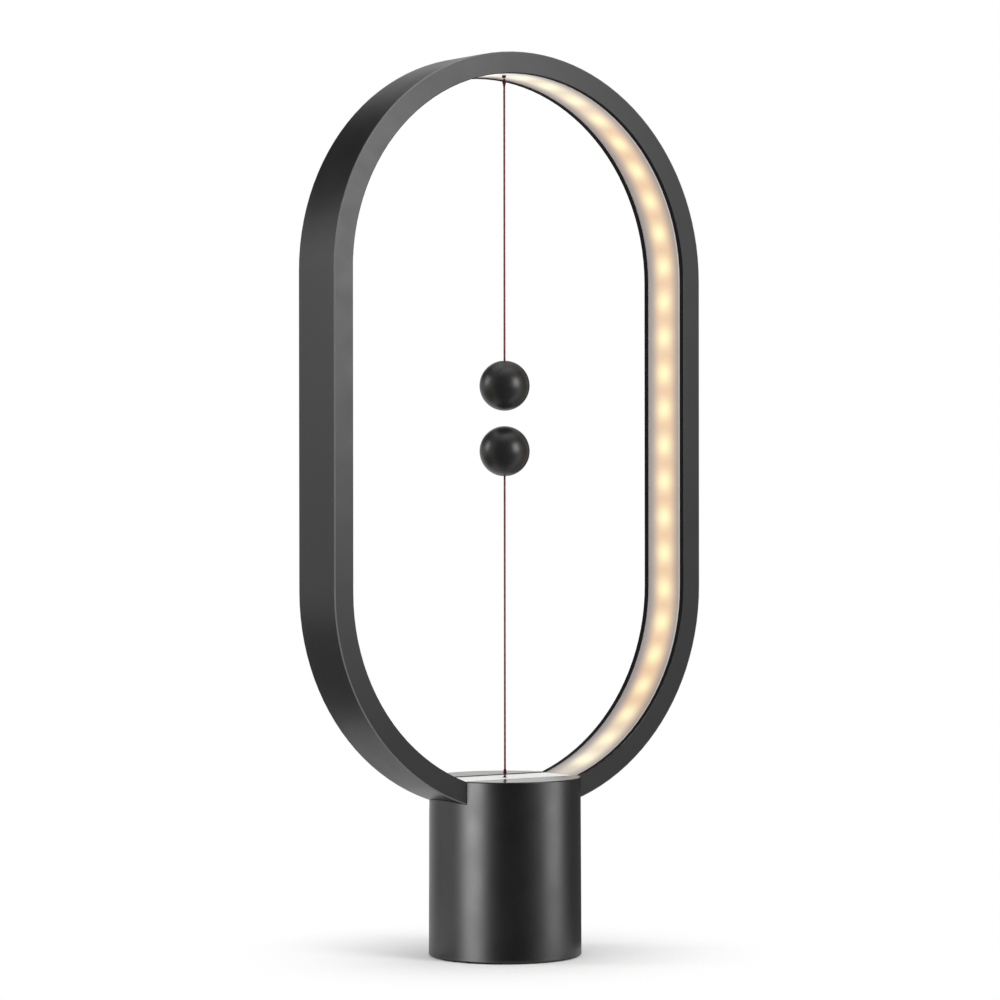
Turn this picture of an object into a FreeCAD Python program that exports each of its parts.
"""Magnetic balance lamp: a lit stadium ring on a round base, and two balls on strings that switch it.

Millimetres. The origin is the centre of the base's underside. X runs across the ring, -Y is its front
and +Z is up.
Each function makes one piece, or one group of equal pieces, and the last lines write them all.
"""

import FreeCAD
import Part

import math
import os

V = FreeCAD.Vector
UP = V(0, 0, 1)
FAR = 600.0  # longer than any piece, for cutting right through
overcut = 1.0  # how far a cut runs on past a face
tiny = 1e-6  # lengths this short count as none

# ---- clearances
fit = 0.10  # between parts that are put together by hand
slide_fit = 0.08  # round a part that slides
stop_gap = 0.05  # left between a moving part and its stop
free_gap = 0.60  # round a part that must never rub

# ---- ring
ring_width = 199.0
ring_straight = 140.8  # length of each upright leg between the round ends
ring_wall = 9.6  # from the outside of the ring to its inside
ring_depth = 29.6
ring_sink = 15.1  # how far the ring stands down in the base
face_thickness = 2.5
outer_wall = 3.4
edge_radius = 0.5
inner_edge_radius = 0.3

# ---- light strip
diffuser_recess = 0.4
diffuser_wall = 1.2
diffuser_leg = 1.0
bridge_thickness = 2.0
upper_hole_radius = 1.3
lower_hole_radius = 1.5
led_pitch = 16.6667  # 60 to the metre
led_offset = 1.47  # the strip's middle stands this far to the right of the upper string
led_length = 3.5
led_width = 2.8
led_height = 0.7
flex_thickness = 0.3
flex_width = 10.0
resistor_length = 2.0
resistor_width = 1.25
resistor_height = 0.5

# ---- base
base_height = 80.3
base_bottom_radius = 34.4
base_draft = 0.3  # the moulding narrows by this much towards the top
base_wall = 2.5
base_top_thickness = 2.5
base_rim_radius = 0.5
channel_wall = 2.0
foot_gap = 0.5  # the moulding's edge stands this far off the table
pad_thickness = 1.5
pad_margin = 1.6
cover_thickness = 2.5
cover_ledge = 1.2
ballast_radius = 22.5
ballast_thickness = 12.0
spigot_radius = 4.0

# ---- screws
screw_radius = 1.1
screw_head_radius = 2.1
screw_head_height = 1.3
small_screw_radius = 0.9
small_head_radius = 1.6
small_head_height = 1.0
head_side = 0.6  # share of a screw head's height that is straight
head_flat = 0.7  # share of its radius that is flat on top
boss_wall = 1.7
cover_screw_length = 9.0
cover_boss_height = 14.0
boss_sink = 0.4  # how far these bosses run into the wall
cover_boss_angles = (-90, 30, 150)
ring_screw_reach = 15.0
ring_screw_bite = 6.0
ring_screw_gap = 1.0  # left above the screw's end
ring_pad_height = 1.6
wire_hole_reach = 24.0
wire_hole_radius = 2.0

# ---- control board
board_gap = 2.0  # above the weight
board_thickness = 1.6
board_width = 28.0
board_front = 9.0
board_edge_gap = 2.6
board_post_x = 10.3
board_post_y = 23.5
board_post_radius = 2.7
board_screw_length = 6.0
socket_width = 7.5
socket_height = 2.7
socket_depth = 5.6
socket_wall = 0.35
socket_back = 1.0
socket_bevel = 0.9
tongue_width = 4.2
tongue_height = 0.6
tongue_setback = 1.0
plug_margin = 2.1  # the window round the socket lets the plug's grip in
plug_corner = 1.5
chip_size = (3.9, 4.9, 1.5)
coil_size = (5.0, 5.0, 3.0)
shunt_size = (1.6, 3.2, 0.6)
component_row = 9.5  # y of the chip and the coil
component_spread = 4.8
shunt_row = 16.5
shunt_spread = 2.0
capacitor_radius = 2.5
capacitor_height = 7.0
capacitor_place = (-9.5, 3.5)
can_groove_height = 1.1
can_groove = 0.25
connector_size = (6.4, 4.2, 4.6)
connector_x = 9.5
connector_y = -4.5

# ---- pull switch
travel = 2.0
plate_drop = 3.6  # from the channel's underside to the bracket
plate_thickness = 3.0
plate_width = 14.0
bracket_screw_reach = 10.5
stem_radius = 2.5
shoulder_radius = 3.2
spring_length = 10.0
spring_wire = 0.3
spring_turns = 4.5
spring_corners = 8  # arcs in one turn
spring_gap = 0.4  # round the shoulder that it stands on
flange_radius = 7.5
flange_thickness = 2.0
clip_thickness = 0.5
clip_width = 1.8  # how far it stands out round the stem
clip_mouth = 0.7  # share of the groove's width that its opening takes
groove_depth = 0.5
stem_end = 0.3  # stem left above the clip
switch_length = 12.8
switch_width = 5.8
switch_height = 6.5
switch_gap = 1.1  # from the flange to the switch body
switch_screw_pitch = 6.5
switch_screw_drop = 4.9
cheek_gap = 0.8
cheek_thickness = 2.2
pad_wall = 0.9  # round the screws, where the switch bears on the cheek
lever_thickness = 0.3
lever_width = 3.6
lever_drop = 1.3
lever_reach_in = 2.3  # how far the lever's tip lies over the flange
hinge_inset = 1.2
hinge_height = 0.8
hinge_pin_radius = 0.6
ear_gap = 0.1
ear_wall = 0.6
button_radius = 0.9
button_from_hinge = 2.8
button_stem = 1.2  # inside the switch
button_stroke = 0.4
terminal_length = 4.0
terminal_width = 1.6
terminal_thickness = 0.5
terminal_inset = 1.4  # from the switch's ends to the outer terminals

# ---- strings and balls
string_radius = 0.5
ball_radius = 11.3
ball_gap = 6.9
lower_ball_height = 226.75
bore_radius = 4.0
magnet_length = 6.0
magnet_cover = 2.3  # plastic left between the magnet and the ball's face
mouth_radius = 1.6
mouth_depth = 5.7
knot_radius = 1.3
knot_room = 2.6
knot_sink = 0.13  # how far the upper knot is pressed flat on its washer
stopper_radius = 1.0
lower_stopper_radius = 0.75
bead_radius = 0.95
bead_length = 3.2
bead_neck = 0.1
bead_round = 0.25
bead_drop = 1.9  # from where the string swings to the bead's middle
sleeve_radius = 0.8
sleeve_length = 5.0
sleeve_neck = 0.15
washer_radius = 2.6
washer_thickness = 0.6

# ---- wires
wire_radius = 0.6
wire_bend = 3.0
bend_share = 0.45  # the most of a straight run that one bend takes
wire_spacing = 1.7
plug_pitch = 2.4
wire_lead = 8.0  # straight above the plug
wire_rise = 20.0  # above the plug, where the LED wires start to lean
wire_clearance = 6.0  # under the switch, before the wires turn in
wire_overlap = 4.0  # soldered length on the ribbon
solder_gap = 0.3  # between the ribbon and the wire

# ---- places that follow from the sizes above
half_depth = ring_depth / 2
inner_depth = half_depth - face_thickness  # half the space between the ring's two faces
ring_bottom = base_height - ring_sink
arc_low = ring_bottom + ring_width / 2  # centre of the lower round end
arc_high = arc_low + ring_straight
ring_top = arc_high + ring_width / 2
upper_pivot = ring_top - ring_wall  # where the upper string swings
lower_pivot = base_height
base_top_radius = base_bottom_radius - base_draft
base_bore = base_top_radius - base_wall
channel_floor = fit + channel_wall  # from the ring's outside to the channel's underside
strip_inset = outer_wall + flex_thickness
bridge_top = base_height - diffuser_recess
diffuser_inset = ring_wall - diffuser_recess
cover_top = pad_thickness + cover_thickness
board_bottom = cover_top + ballast_thickness + board_gap
board_top = board_bottom + board_thickness
upper_ball_height = lower_ball_height + 2 * ball_radius + ball_gap
channel_under = ring_bottom - channel_floor
plate_top = channel_under - plate_drop
plate_bottom = plate_top - plate_thickness
flange_top = plate_bottom - spring_length
flange_bottom = flange_top - flange_thickness
lever_bottom = flange_top + fit
switch_bottom = lever_bottom + lever_thickness + lever_drop
switch_left = flange_radius + switch_gap
switch_right = switch_left + switch_length
hinge_x = switch_right - hinge_inset
hinge_z = switch_bottom + hinge_height
lever_tip = flange_radius - lever_reach_in
cheek_front = switch_width / 2 + cheek_gap
tail_knot_height = flange_bottom - knot_radius


# ---- small helpers
def box(x0, x1, y0, y1, z0, z1):
    """A block between two corners."""
    return Part.makeBox(x1 - x0, y1 - y0, z1 - z0, V(x0, y0, z0))


def rod(radius, bottom, top, x=0.0, y=0.0):
    """An upright cylinder."""
    return Part.makeCylinder(radius, top - bottom, V(x, y, bottom), UP)


def rod_along_y(radius, y0, y1, x, z):
    """A cylinder that runs from front to back."""
    return Part.makeCylinder(radius, y1 - y0, V(x, y0, z), V(0, 1, 0))


def ring_of(outer, inner, bottom, top, x=0.0, y=0.0):
    """An upright tube."""
    return rod(outer, bottom, top, x, y).cut(rod(inner, bottom - overcut, top + overcut, x, y))


def turned(points):
    """A solid of revolution round Z from its half section, given as (radius, height) points."""
    corners = [V(r, 0, z) for r, z in points]
    face = Part.Face(Part.makePolygon(corners + corners[:1]))
    return face.revolve(V(0, 0, 0), UP, 360)


def stadium(inset, y0, y1):
    """A prism from y0 to y1 whose outline is the ring's, drawn inwards by inset."""
    r = ring_width / 2 - inset
    edges = [
        Part.LineSegment(V(r, y0, arc_low), V(r, y0, arc_high)).toShape(),
        Part.Arc(V(r, y0, arc_high), V(0, y0, arc_high + r), V(-r, y0, arc_high)).toShape(),
        Part.LineSegment(V(-r, y0, arc_high), V(-r, y0, arc_low)).toShape(),
        Part.Arc(V(-r, y0, arc_low), V(0, y0, arc_low - r), V(r, y0, arc_low)).toShape(),
    ]
    return Part.Face(Part.Wire(edges)).extrude(V(0, y1 - y0, 0))


def loop(outer_inset, inner_inset, y0, y1):
    """A stadium loop between two insets."""
    return stadium(outer_inset, y0, y1).cut(stadium(inner_inset, y0 - overcut, y1 + overcut))


def ring_window():
    """The space inside the ring, cut off level with the top of the base."""
    inside = stadium(ring_wall, -ring_depth, ring_depth)
    return inside.common(box(-FAR, FAR, -FAR, FAR, base_height, FAR))


def arc_drop(inset, x):
    """Height of the ring's lower round end at x, for an outline drawn inwards by inset."""
    r = ring_width / 2 - inset
    return arc_low - math.sqrt(r * r - x * x)


def group(shapes):
    """Equal pieces that share one node."""
    return Part.makeCompound(shapes)


def screw(shank, head, head_height, length):
    """A pan-head screw at the origin: the head's underside at z = 0, the shank upwards."""
    dome = turned([
        (0, 0),
        (head, 0),
        (head, -head_height * head_side),
        (head * head_flat, -head_height),
        (0, -head_height),
    ])
    return dome.fuse(rod(shank, 0, length)).removeSplitter()


def placed(shape, x, y, z, axis=V(1, 0, 0), degrees=0.0):
    """The shape turned about an axis through its own origin and then moved."""
    copy = shape.copy()
    copy.Placement = FreeCAD.Placement(V(x, y, z), FreeCAD.Rotation(axis, degrees))
    return copy


def route(points, radius, bend):
    """A round wire along straight runs joined by arcs that touch them."""
    here = points[0]
    edges = []
    for before, corner, after in zip(points, points[1:], points[2:]):
        come = (corner - before).normalize()
        go = (after - corner).normalize()
        half_turn = come.getAngle(go) / 2
        room = bend_share * min((corner - before).Length, (after - corner).Length)
        r = min(bend, room / math.tan(half_turn))
        back = r * math.tan(half_turn)
        start = corner - come * back
        end = corner + go * back
        inward = (go - come).normalize()
        middle = corner + inward * (r / math.cos(half_turn) - r)
        edges.append(Part.LineSegment(here, start).toShape())
        edges.append(Part.Arc(start, middle, end).toShape())
        here = end
    edges.append(Part.LineSegment(here, points[-1]).toShape())
    circle = Part.Wire(Part.makeCircle(radius, points[0], points[1] - points[0]))
    return Part.Wire(edges).makePipeShell([circle], True, True)


# ---- ring
def ring_screw_places():
    return (-ring_screw_reach, ring_screw_reach)


def soft_inner_edge(plate, y):
    """Rounds the edge round the window of a ring face that lies in the plane y."""
    reach = ring_width / 2 - ring_wall + edge_radius / 2
    rims = []
    for edge in plate.Edges:
        box_of = edge.BoundBox
        flat = abs(box_of.YMin - y) < tiny and abs(box_of.YMax - y) < tiny
        if flat and box_of.ZMin > base_height - tiny and box_of.XMax < reach and box_of.XMin > -reach:
            rims.append(edge)
    return plate.makeFillet(inner_edge_radius, rims)


def ring_frame():
    """Front face and outer wall in one moulding; the light strip lies in its channel."""
    body = stadium(0, -half_depth, half_depth)
    rims = [e for e in body.Edges if e.BoundBox.YLength < tiny]
    body = body.makeFillet(edge_radius, rims)
    body = body.cut(stadium(outer_wall, -inner_depth, ring_depth))
    body = soft_inner_edge(body.cut(ring_window()), -half_depth)
    for x in ring_screw_places():
        top = arc_drop(outer_wall, x) + ring_screw_bite
        boss = rod(screw_radius + boss_wall, arc_drop(outer_wall / 2, x), top, x)
        body = body.fuse(boss).cut(rod(screw_radius, 0, top + overcut, x))
    body = body.cut(rod(lower_hole_radius, 0, arc_low))
    body = body.cut(rod(wire_hole_radius, 0, arc_low, -wire_hole_reach))
    return body.removeSplitter()


def ring_back_cover():
    """The flat loop that closes the ring from behind, let in between the outer wall's edges."""
    plate = stadium(outer_wall + fit, inner_depth, half_depth)
    return soft_inner_edge(plate.cut(ring_window()), half_depth)


def bridge_half_length():
    """Where the light strip's face meets the flat bridge across the base."""
    r = ring_width / 2 - diffuser_inset
    return math.sqrt(r * r - (arc_low - bridge_top) ** 2)


def ring_diffuser():
    """Milky U-section strip round the inside of the ring, from one side of the base to the other.

    Its feet end level with the underside of the bridge, which leaves the wires room to come up.
    """
    half = inner_depth - fit
    body = loop(outer_wall + fit, diffuser_inset, -half, half)
    hollow = loop(outer_wall, diffuser_inset - diffuser_wall, diffuser_leg - half, half - diffuser_leg)
    end = bridge_half_length() + fit
    foot = bridge_top - bridge_thickness
    body = body.cut(hollow).cut(box(-end, end, -FAR, FAR, 0, arc_low))
    body = body.cut(box(-FAR, FAR, -FAR, FAR, 0, foot))
    return body.cut(rod(upper_hole_radius, arc_high, FAR))


def bridge_plate():
    """Milky plate level with the top of the base, on two legs that stand in the ring."""
    half = inner_depth - fit
    end = bridge_half_length()
    body = box(-end, end, -half, half, ring_bottom, bridge_top)
    inner = half - diffuser_leg
    under = box(-end - overcut, end + overcut, -inner, inner, 0, bridge_top - bridge_thickness)
    body = body.cut(under).common(stadium(outer_wall + fit, -half, half))
    return body.cut(rod(lower_hole_radius, 0, FAR))


def along_strip(distance):
    """Place and tilt on the outer wall's inside, at a distance along it from the top of the ring."""
    r = ring_width / 2 - outer_wall
    quarter = math.pi / 2 * r
    side = 1 if distance >= 0 else -1
    run = abs(distance)
    if run <= quarter:
        tilt = run / r
        x, z = r * math.sin(tilt), arc_high + r * math.cos(tilt)
    elif run <= quarter + ring_straight:
        tilt = math.pi / 2
        x, z = r, arc_high - (run - quarter)
    else:
        tilt = math.pi / 2 + (run - quarter - ring_straight) / r
        x, z = r * math.sin(tilt), arc_low + r * math.cos(tilt)
    return side * x, z, side * math.degrees(tilt)


def led_places():
    """Distances along the strip of its LEDs, as many on each side as fit above the base."""
    r = ring_width / 2 - outer_wall
    under_base = math.asin(base_bottom_radius / r)
    reach = math.pi / 2 * r + ring_straight + r * (math.pi / 2 - under_base)
    half = int(reach / led_pitch)
    return [(i + 0.5) * led_pitch + led_offset for i in range(-half, half)]


def strip_end(distance):
    """Direction from the lower round end's centre to the strip's end at a distance along it."""
    x, z, _ = along_strip(distance)
    return V(x, 0, z - arc_low)


def led_flex_strip():
    """The flexible ribbon that the LEDs are soldered to, glued to the inside of the outer wall."""
    ribbon = loop(outer_wall, strip_inset, -flex_width / 2, flex_width / 2)
    places = led_places()
    centre = V(0, -FAR / 2, arc_low)
    left = centre + strip_end(places[0] - led_pitch / 2) * 2
    right = centre + strip_end(places[-1] + led_pitch / 2) * 2
    gap = Part.Face(Part.makePolygon([centre, left, V(0, -FAR / 2, -FAR), right, centre]))
    return ribbon.cut(gap.extrude(V(0, FAR, 0)))


def on_strip(distance, length, width, height, y=0.0):
    """A block soldered to the ribbon, so that its two ends rest where the ribbon is curved."""
    x, z, tilt = along_strip(distance)
    r = ring_width / 2 - strip_inset
    on_arc = z > arc_high or z < arc_low
    lift = r - math.sqrt(r * r - length * length / 4) if on_arc else 0.0
    top = -flex_thickness - lift
    block = box(-length / 2, length / 2, y - width / 2, y + width / 2, top - height, top)
    return placed(block, x, 0, z, V(0, 1, 0), tilt)


def led_chips():
    return group([on_strip(s, led_length, led_width, led_height) for s in led_places()])


def led_resistors():
    """One beside each LED, a quarter of the pitch further on."""
    y = flex_width / 4
    return group([
        on_strip(s + led_pitch / 4, resistor_length, resistor_width, resistor_height, y)
        for s in led_places()
    ])


# ---- base
def housing_blank():
    """The outside of the base: a short cylinder, a little narrower at the top."""
    height = base_height - foot_gap
    blank = Part.makeCone(base_bottom_radius, base_top_radius, height, V(0, 0, foot_gap), UP)
    rims = [e for e in blank.Edges if e.BoundBox.ZLength < tiny]
    return blank.makeFillet(base_rim_radius, rims)


def cover_screw_places():
    reach = base_bore - screw_radius - boss_wall + boss_sink
    turns = [math.radians(a) for a in cover_boss_angles]
    return [(reach * math.cos(a), reach * math.sin(a)) for a in turns]


def socket_centre():
    """Height of the power socket's middle."""
    return board_top + socket_height / 2


def socket_face():
    """Where the socket's mouth is, just inside the housing's wall."""
    return base_bore - free_gap


def plug_window():
    """The rounded window behind the socket."""
    x = socket_width / 2 + plug_margin
    z = socket_height / 2 + plug_margin
    hole = box(-x, x, 0, FAR, -z, z)
    long_edges = [e for e in hole.Edges if e.BoundBox.YLength > FAR / 2]
    hole = hole.makeFillet(plug_corner, long_edges)
    return placed(hole, 0, socket_face() - overcut, socket_centre())


def base_housing():
    """Hollow moulding with the channel that the ring stands in, open at the bottom."""
    blank = housing_blank()
    body = blank.cut(rod(base_bore, 0, base_height - base_top_thickness))
    wall_depth = half_depth + fit + channel_wall
    saddle = stadium(-channel_floor, -wall_depth, wall_depth).common(blank)
    body = body.fuse(saddle)
    for x in ring_screw_places():
        pad_bottom = arc_drop(-channel_floor, x) - ring_pad_height
        body = body.fuse(rod(screw_radius + boss_wall, pad_bottom, ring_bottom, x))
    for y in (-bracket_screw_reach, bracket_screw_reach):
        body = body.fuse(rod(screw_radius + boss_wall, plate_top, ring_bottom, 0, y))
    for x, y in cover_screw_places():
        boss = rod(screw_radius + boss_wall, cover_top, cover_top + cover_boss_height, x, y)
        body = body.fuse(boss.common(blank))
    body = body.cut(stadium(-fit, -half_depth - fit, half_depth + fit))
    body = body.cut(rod(base_bore + cover_ledge, 0, cover_top))
    for x in ring_screw_places():
        body = body.cut(rod(screw_radius + fit, 0, base_height, x))
    for y in (-bracket_screw_reach, bracket_screw_reach):
        body = body.cut(rod(screw_radius, 0, ring_bottom - fit - channel_wall / 2, 0, y))
    for x, y in cover_screw_places():
        body = body.cut(rod(screw_radius, 0, cover_top + cover_screw_length, x, y))
    body = body.cut(rod(lower_hole_radius, 0, FAR))
    body = body.cut(rod(wire_hole_radius, 0, FAR, -wire_hole_reach))
    return body.cut(plug_window()).removeSplitter()


def board_post_places():
    return ((-board_post_x, board_post_y), (board_post_x, board_post_y))


def base_cover():
    """The bottom plate, with a spigot that locates the weight and posts that carry the board."""
    radius = base_bore + cover_ledge - fit
    body = rod(radius, pad_thickness, cover_top)
    body = body.fuse(rod(spigot_radius, cover_top, board_bottom))
    for x, y in board_post_places():
        body = body.fuse(rod(board_post_radius, cover_top, board_bottom, x, y))
    for x, y in ((0, 0), *board_post_places()):
        body = body.cut(rod(small_screw_radius, cover_top, FAR, x, y))
    for x, y in cover_screw_places():
        body = body.cut(rod(screw_radius + fit, 0, FAR, x, y))
        body = body.cut(rod(screw_head_radius + fit, 0, pad_thickness + screw_head_height, x, y))
    return body.removeSplitter()


def foot_pad():
    return rod(base_bore + cover_ledge - pad_margin, 0, pad_thickness)


def ballast():
    """Steel disc on the spigot, with its top edge broken."""
    body = ring_of(ballast_radius, spigot_radius + fit, cover_top, cover_top + ballast_thickness)
    wide = 2 * ballast_radius - edge_radius
    rims = [e for e in body.Edges if e.BoundBox.XLength > wide and e.BoundBox.ZLength < tiny]
    return body.makeChamfer(edge_radius, rims)


def cover_screws():
    one = screw(screw_radius, screw_head_radius, screw_head_height, cover_screw_length)
    return group([placed(one, x, y, pad_thickness + screw_head_height) for x, y in cover_screw_places()])


def ring_screws():
    shapes = []
    for x in ring_screw_places():
        seat = arc_drop(-channel_floor, x) - ring_pad_height
        length = arc_drop(outer_wall, x) + ring_screw_bite - ring_screw_gap - seat
        one = screw(screw_radius, screw_head_radius, screw_head_height, length)
        shapes.append(placed(one, x, 0, seat))
    return group(shapes)


# ---- control board
def control_board():
    """The board's rear corners follow the housing's wall."""
    back = base_bore - board_edge_gap
    body = box(-board_width / 2, board_width / 2, -board_front, back, board_bottom, board_top)
    body = body.common(rod(base_bore - free_gap, board_bottom, board_top))
    for x, y in ((0, 0), *board_post_places()):
        body = body.cut(rod(small_screw_radius + fit, 0, FAR, x, y))
    return body


def board_screws():
    one = screw(small_screw_radius, small_head_radius, small_head_height, board_screw_length)
    places = ((0, 0), *board_post_places())
    return group([placed(one, x, y, board_top, V(1, 0, 0), 180) for x, y in places])


def socket_section(width, height, bevel, y0, y1):
    """The inlet's section: flat above, with bevelled lower corners."""
    w, h = width / 2, height / 2
    corners = [(-w, h), (w, h), (w, bevel - h), (w - bevel, -h), (bevel - w, -h), (-w, bevel - h)]
    points = [V(x, y0, z + socket_centre()) for x, z in corners]
    return Part.Face(Part.makePolygon(points + points[:1])).extrude(V(0, y1 - y0, 0))


def usb_socket():
    """Folded steel shell, open to the rear."""
    mouth = socket_face()
    shell = socket_section(socket_width, socket_height, socket_bevel, mouth - socket_depth, mouth)
    inner_width = socket_width - 2 * socket_wall
    inner_height = socket_height - 2 * socket_wall
    back = mouth - socket_depth + socket_back
    return shell.cut(socket_section(inner_width, inner_height, socket_bevel, back, mouth + overcut))


def usb_tongue():
    """The contact tongue inside the shell."""
    mouth = socket_face()
    z = socket_centre()
    w, h = tongue_width / 2, tongue_height / 2
    return box(-w, w, mouth - socket_depth + socket_back, mouth - tongue_setback, z - h, z + h)


def on_board(size, x, y):
    """A block of the given size that stands on the board, with its middle at x, y."""
    w, d, h = size
    return box(x - w / 2, x + w / 2, y - d / 2, y + d / 2, board_top, board_top + h)


def board_components():
    """Driver chip, coil and two resistors in front of the socket."""
    return group([
        on_board(chip_size, -component_spread, component_row),
        on_board(coil_size, component_spread, component_row),
        on_board(shunt_size, -shunt_spread, shunt_row),
        on_board(shunt_size, shunt_spread, shunt_row),
    ])


def board_capacitor():
    """Upright can with the seal's groove round its foot."""
    r = capacitor_radius
    h = capacitor_height
    can = turned([
        (0, 0),
        (r, 0),
        (r, can_groove_height - can_groove),
        (r - can_groove, can_groove_height),
        (r, can_groove_height + can_groove),
        (r, h - can_groove),
        (r - can_groove, h),
        (0, h),
    ])
    return placed(can, *capacitor_place, board_top)


def board_connectors():
    """The two plugs that take the wires."""
    return group([on_board(connector_size, x, connector_y) for x in (-connector_x, connector_x)])


# ---- pull switch
def switch_screw_places():
    middle = (switch_left + switch_right) / 2
    z = switch_bottom + switch_screw_drop
    return [(middle - switch_screw_pitch / 2, z), (middle + switch_screw_pitch / 2, z)]


def switch_bracket():
    """Guide plate under the channel, with a cheek at one side that carries the microswitch."""
    reach = bracket_screw_reach + screw_radius + boss_wall
    half = plate_width / 2
    back = cheek_front + cheek_thickness
    body = box(-half, half, -reach, reach, plate_bottom, plate_top)
    body = body.fuse(box(0, switch_right, cheek_front, back, plate_bottom, plate_top))
    body = body.fuse(box(switch_left, switch_right, cheek_front, back, switch_bottom, plate_top))
    for x, z in switch_screw_places():
        pad = rod_along_y(small_screw_radius + pad_wall, switch_width / 2, cheek_front, x, z)
        body = body.fuse(pad)
    for x, z in switch_screw_places():
        body = body.cut(rod_along_y(small_screw_radius, 0, back + overcut, x, z))
    for y in (-bracket_screw_reach, bracket_screw_reach):
        body = body.cut(rod(screw_radius + fit, 0, FAR, 0, y))
    return body.cut(rod(stem_radius + slide_fit, 0, FAR)).removeSplitter()


def bracket_screws():
    one = screw(screw_radius, screw_head_radius, screw_head_height, plate_thickness + plate_drop)
    return group([placed(one, 0, y, plate_bottom) for y in (-bracket_screw_reach, bracket_screw_reach)])


def clip_bottom():
    """The clip stands one travel above the plate while the string is pulled."""
    return plate_top + travel + stop_gap


def pull_plunger():
    """Turned slider: flange, shoulder that stops it under the plate, and a grooved stem."""
    top = clip_bottom() + clip_thickness + stop_gap + stem_end
    groove = stem_radius - groove_depth
    body = turned([
        (string_radius, flange_bottom),
        (flange_radius, flange_bottom),
        (flange_radius, flange_top),
        (shoulder_radius, flange_top),
        (shoulder_radius, plate_bottom - stop_gap),
        (stem_radius, plate_bottom - stop_gap),
        (stem_radius, clip_bottom()),
        (groove, clip_bottom()),
        (groove, clip_bottom() + clip_thickness),
        (stem_radius, clip_bottom() + clip_thickness),
        (stem_radius, top),
        (string_radius, top),
    ])
    return body


def plunger_clip():
    """Retaining clip, open at one side."""
    inner = stem_radius - groove_depth
    outer = stem_radius + clip_width
    body = ring_of(outer, inner, clip_bottom(), clip_bottom() + clip_thickness)
    mouth = inner * clip_mouth
    return body.cut(box(0, FAR, -mouth, mouth, 0, FAR))


def plunger_spring():
    """Compression spring between the plate and the flange, wound in short arcs that touch."""
    mean = shoulder_radius + spring_wire + spring_gap
    length = spring_length - 2 * spring_wire - 2 * stop_gap
    corners = round(spring_turns * spring_corners)
    reach = mean / math.cos(math.pi / spring_corners)
    points = []
    for i in range(corners + 1):
        turn = 2 * math.pi * i / spring_corners
        points.append(V(reach * math.cos(turn), reach * math.sin(turn), length * i / corners))
    return placed(route(points, spring_wire, FAR), 0, 0, flange_top + spring_wire + stop_gap)


def switch_body():
    """Sub-miniature microswitch, with hinge pins at its sides and a well for the button."""
    half = switch_width / 2
    body = box(switch_left, switch_right, -half, half, switch_bottom, switch_bottom + switch_height)
    pin_reach = half + ear_gap + lever_thickness + fit
    body = body.fuse(rod_along_y(hinge_pin_radius, -pin_reach, pin_reach, hinge_x, hinge_z))
    for x, z in switch_screw_places():
        body = body.cut(rod_along_y(small_screw_radius + fit, -FAR / 2, FAR / 2, x, z))
    well_top = switch_bottom + button_stem + button_stroke
    well = rod(button_radius + slide_fit, switch_bottom - overcut, well_top, hinge_x - button_from_hinge)
    return body.cut(well).removeSplitter()


def switch_lever():
    """Sprung blade over the button, with an ear on each side that hooks on the hinge pins."""
    blade_half = lever_width / 2
    inner = switch_width / 2 + ear_gap
    outer = inner + lever_thickness
    top = lever_bottom + lever_thickness
    ear_half = hinge_pin_radius + ear_wall
    body = box(lever_tip, hinge_x + ear_half, -blade_half, blade_half, lever_bottom, top)
    body = body.fuse(box(hinge_x - ear_half, hinge_x + ear_half, -outer, outer, lever_bottom, top))
    for y0, y1 in ((-outer, -inner), (inner, outer)):
        ear = box(hinge_x - ear_half, hinge_x + ear_half, y0, y1, lever_bottom, hinge_z)
        body = body.fuse(ear).fuse(rod_along_y(ear_half, y0, y1, hinge_x, hinge_z))
    outer += overcut
    hole = rod_along_y(hinge_pin_radius + stop_gap, -outer, outer, hinge_x, hinge_z)
    return body.cut(hole).removeSplitter()


def switch_button():
    x = hinge_x - button_from_hinge
    return rod(button_radius, lever_bottom + lever_thickness + stop_gap, switch_bottom + button_stem, x)


def terminal_places():
    step = switch_length / 2 - terminal_inset
    return [switch_left + terminal_inset + i * step for i in range(3)]


def switch_terminals():
    top = switch_bottom + switch_height
    w, t = terminal_width / 2, terminal_thickness / 2
    return group([box(x - w, x + w, -t, t, top, top + terminal_length) for x in terminal_places()])


def switch_screws():
    """They go through the switch into the cheek."""
    length = switch_width + cheek_gap + cheek_thickness
    one = screw(small_screw_radius, small_head_radius, small_head_height, length)
    y = -switch_width / 2
    return group([placed(one, x, y, z, V(1, 0, 0), -90) for x, z in switch_screw_places()])


# ---- wires inside the base
def wire_pair(make):
    return group([route(make(i), wire_radius, wire_bend) for i in (0, 1)])


def switch_wires():
    """From the switch's outer terminals over its side and down to the board."""
    top = switch_bottom + switch_height + terminal_length
    plug_top = board_top + connector_size[2]
    starts = (terminal_places()[0], terminal_places()[2])

    def points(i):
        x = starts[i]
        side = -switch_width / 2 - 3 * wire_radius - small_head_height
        end = connector_x + (i - 0.5) * plug_pitch
        return [
            V(x, -terminal_thickness / 2 - wire_radius, top - wire_radius - fit),
            V(x, side, top - wire_radius - fit),
            V(x, side, switch_bottom - wire_clearance),
            V(end, connector_y, plug_top + wire_lead),
            V(end, connector_y, plug_top),
        ]

    return wire_pair(points)


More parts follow.
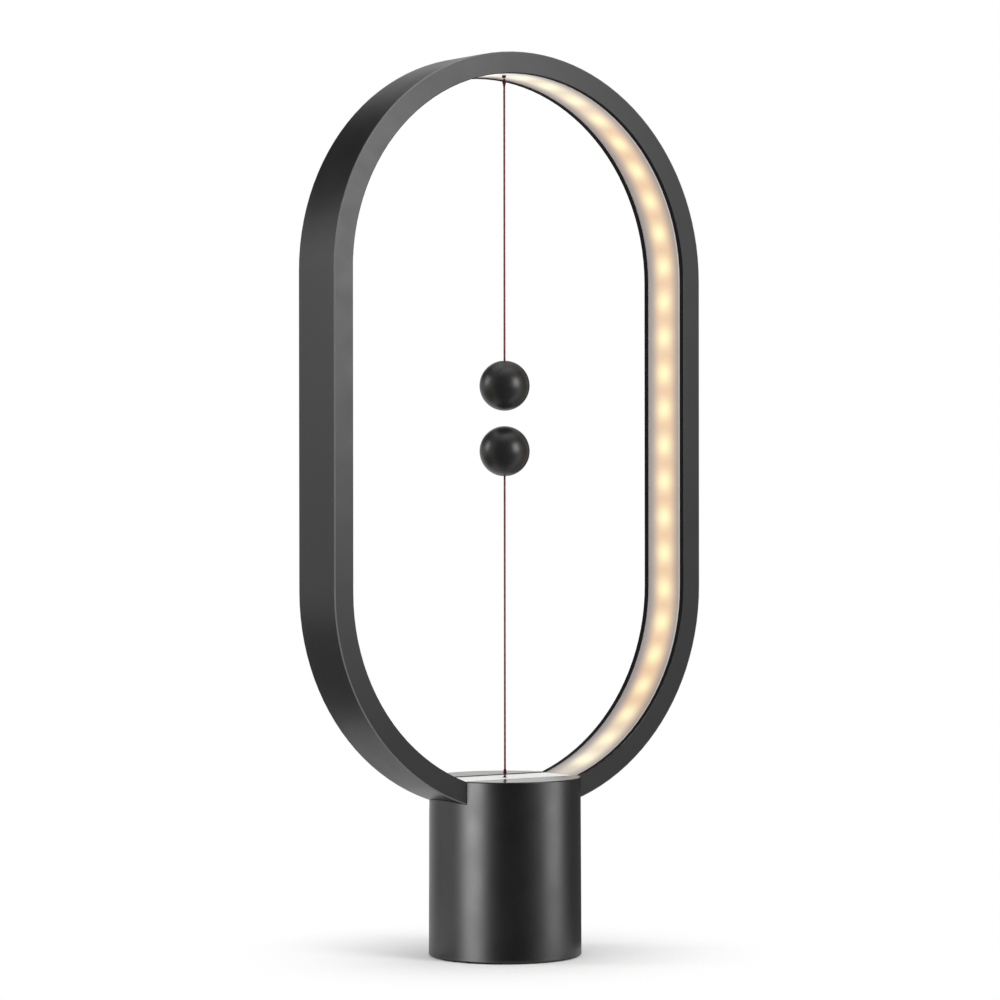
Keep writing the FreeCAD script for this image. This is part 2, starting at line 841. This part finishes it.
def led_wires():
    """From the light strip's left end through the channel's floor and down to the board."""
    plug_top = board_top + connector_size[2]
    first = led_places()[0] - led_pitch / 2
    x0, z0, _ = along_strip(first + wire_overlap)
    lift = flex_thickness + wire_radius + solder_gap

    def points(i):
        y = (i - 0.5) * wire_spacing
        hole = -wire_hole_reach
        end = -connector_x + (i - 0.5) * plug_pitch
        start = V(x0, y, z0) + V(-x0, 0, arc_low - z0).normalize() * lift
        return [
            start,
            V(hole, y, arc_drop(outer_wall, hole) + lift),
            V(hole, y, plug_top + wire_rise),
            V(end, connector_y, plug_top + wire_lead),
            V(end, connector_y, plug_top),
        ]

    return wire_pair(points)


# ---- strings and balls
def string_between(bottom, top):
    return rod(string_radius, bottom, top)


def bead(radius, bottom, top, neck):
    """A knot on the string: fat in its middle, narrowing to the string at both ends."""
    middle = (bottom + top) / 2
    return turned([
        (string_radius, bottom),
        (string_radius + neck, bottom),
        (radius, middle),
        (string_radius + neck, top),
        (string_radius, top),
    ])


def upper_stopper():
    return Part.makeSphere(stopper_radius, V(0, 0, upper_pivot))


def upper_knot():
    """It hangs just under the hole and narrows downwards to the string."""
    top = upper_pivot - bead_drop + bead_radius / 2
    return turned([
        (string_radius, top - bead_length),
        (string_radius + bead_neck, top - bead_length),
        (bead_radius - bead_round, top - bead_radius),
        (bead_radius, top - bead_radius / 2),
        (bead_radius - bead_round, top),
        (string_radius, top),
    ])


def upper_anchor_washer():
    bottom = ring_top - strip_bottom_gap()
    return ring_of(washer_radius, string_radius + fit, bottom, bottom + washer_thickness)


def strip_bottom_gap():
    """From the top of the ring down to the back of the light strip's face."""
    return diffuser_inset - diffuser_wall


def upper_anchor_knot():
    """The string's end above the washer, with the short length that goes down through the hole."""
    seat = ring_top - strip_bottom_gap() + washer_thickness
    neck = string_between(upper_pivot + stopper_radius + stop_gap, seat + knot_radius)
    knot = Part.makeSphere(knot_radius, V(0, 0, seat + knot_radius - knot_sink))
    return neck.fuse(knot.common(box(-FAR, FAR, -FAR, FAR, seat, FAR))).removeSplitter()


def lower_stopper():
    return Part.makeSphere(lower_stopper_radius, V(0, 0, lower_pivot))


def lower_sleeve():
    """Short dark sleeve at the string's foot."""
    bottom = lower_pivot + lower_stopper_radius + stop_gap
    return bead(sleeve_radius, bottom, bottom + sleeve_length, sleeve_neck)


def lower_string_tail():
    """From the top of the base down through the plunger."""
    return string_between(tail_knot_height, lower_pivot - lower_stopper_radius - stop_gap)


def tail_knot():
    knot = Part.makeSphere(knot_radius, V(0, 0, tail_knot_height))
    return knot.cut(rod(string_radius, 0, FAR))


def plug_length():
    """From the ball's middle to the plug's inner end, where the magnet starts."""
    return ball_radius - magnet_cover - magnet_length


def knot_top():
    """The string's knot, in its pocket under the magnet, measured from the ball's middle."""
    return plug_length() - knot_room


def ball_body():
    """The ball with its string side down: one moulding, bored from below."""
    ball = Part.makeSphere(ball_radius)
    return ball.cut(rod(bore_radius, -FAR, ball_radius - magnet_cover))


def ball_plug():
    """It fills the bore, with a wide mouth for the string and a pocket for its knot."""
    inner = plug_length()
    body = rod(bore_radius - fit / 2, -FAR, inner).common(Part.makeSphere(ball_radius))
    body = body.cut(rod(mouth_radius, -FAR, mouth_depth - ball_radius))
    body = body.cut(rod(string_radius + fit, -FAR, inner + overcut))
    return body.cut(rod(knot_radius + fit, inner - knot_room, inner + overcut))


def ball_magnet():
    inner = plug_length()
    return rod(bore_radius - fit, inner, inner + magnet_length)


def ball_knot():
    return Part.makeSphere(knot_radius, V(0, 0, knot_top() + knot_radius))


def hung(shape):
    """A piece of the upper ball: the same piece turned upside down."""
    return placed(shape, 0, 0, upper_ball_height, V(1, 0, 0), 180)


def held(shape):
    """A piece of the lower ball."""
    return placed(shape, 0, 0, lower_ball_height)


def upper_string():
    return string_between(upper_ball_height - knot_top(), upper_pivot - stopper_radius - stop_gap)


def lower_string():
    bottom = lower_pivot + lower_stopper_radius + stop_gap
    return string_between(bottom, lower_ball_height + knot_top())


# ---- write every piece
NODES = {
    "ring_frame": ring_frame(),
    "ring_back_cover": ring_back_cover(),
    "ring_diffuser": ring_diffuser(),
    "bridge_plate": bridge_plate(),
    "led_flex_strip": led_flex_strip(),
    "led_chips": led_chips(),
    "led_resistors": led_resistors(),
    "upper_anchor_washer": upper_anchor_washer(),
    "upper_anchor_knot": upper_anchor_knot(),
    "upper_stopper": upper_stopper(),
    "upper_knot": upper_knot(),
    "upper_string": upper_string(),
    "upper_ball_body": hung(ball_body()),
    "upper_ball_plug": hung(ball_plug()),
    "upper_ball_magnet": hung(ball_magnet()),
    "upper_ball_knot": hung(ball_knot()),
    "lower_stopper": lower_stopper(),
    "lower_sleeve": lower_sleeve(),
    "lower_string": lower_string(),
    "lower_ball_body": held(ball_body()),
    "lower_ball_plug": held(ball_plug()),
    "lower_ball_magnet": held(ball_magnet()),
    "lower_ball_knot": held(ball_knot()),
    "lower_string_tail": lower_string_tail(),
    "tail_knot": tail_knot(),
    "base_housing": base_housing(),
    "base_cover": base_cover(),
    "foot_pad": foot_pad(),
    "ballast": ballast(),
    "cover_screws": cover_screws(),
    "ring_screws": ring_screws(),
    "control_board": control_board(),
    "board_screws": board_screws(),
    "board_components": board_components(),
    "board_capacitor": board_capacitor(),
    "board_connectors": board_connectors(),
    "usb_socket": usb_socket(),
    "usb_tongue": usb_tongue(),
    "switch_bracket": switch_bracket(),
    "bracket_screws": bracket_screws(),
    "pull_plunger": pull_plunger(),
    "plunger_clip": plunger_clip(),
    "plunger_spring": plunger_spring(),
    "switch_body": switch_body(),
    "switch_lever": switch_lever(),
    "switch_button": switch_button(),
    "switch_terminals": switch_terminals(),
    "switch_screws": switch_screws(),
    "switch_wires": switch_wires(),
    "led_wires": led_wires(),
}

os.makedirs("parts", exist_ok=True)
for name, shape in NODES.items():
    shape.exportStep("parts/" + name + ".step")
    print(name, len(shape.Solids), "solids", round(shape.Volume, 1), "mm3", shape.isValid())
